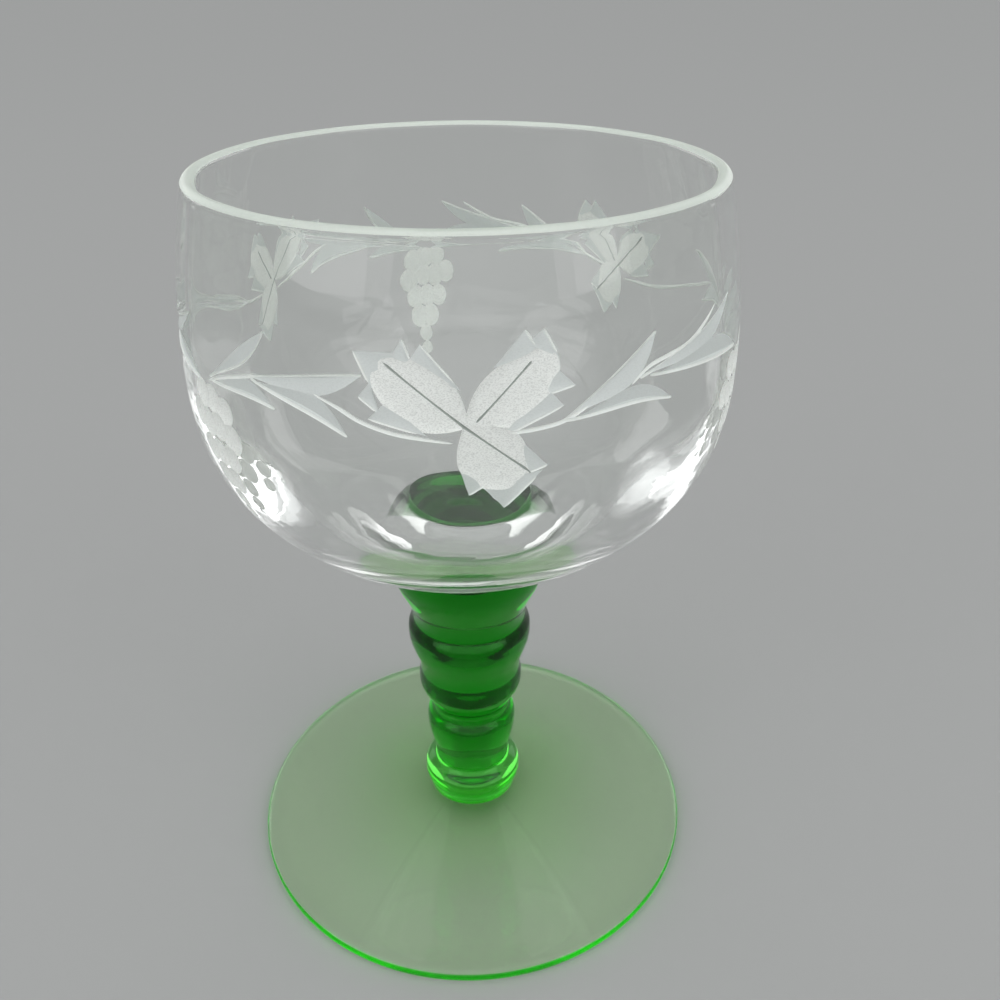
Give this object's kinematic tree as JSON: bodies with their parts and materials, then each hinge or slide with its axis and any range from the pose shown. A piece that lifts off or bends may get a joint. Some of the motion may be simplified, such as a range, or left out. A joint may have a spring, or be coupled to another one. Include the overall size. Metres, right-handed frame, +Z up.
{
  "type": "roemer wine glass",
  "caption": "Roemer wine glass: clear rounded bowl engraved with vine leaves and grapes, on a solid green ringed stem with a collar and a round green foot.",
  "frame": {"origin": "centre of the ring under the foot, on the surface that the glass stands on", "axes": "+Z up along the stem and bowl axis; -Y is the side with the engraved leaf that faces the picture"},
  "size_m": [0.0918, 0.0918, 0.139],
  "materials": {
    "bowl_glass": "clear polished, with matte wheel-engraved vine decoration outside",
    "stem_glass": "clear polished, deep emerald green through the mass",
    "collar_glass": "clear polished, green",
    "foot_glass": "clear polished, pale green in the thin foot"
  },
  "bodies": {
    "root": {"foot": "foot_glass", "collar": "collar_glass", "stem": "stem_glass", "bowl": "bowl_glass"}
  },
  "joints": []
}
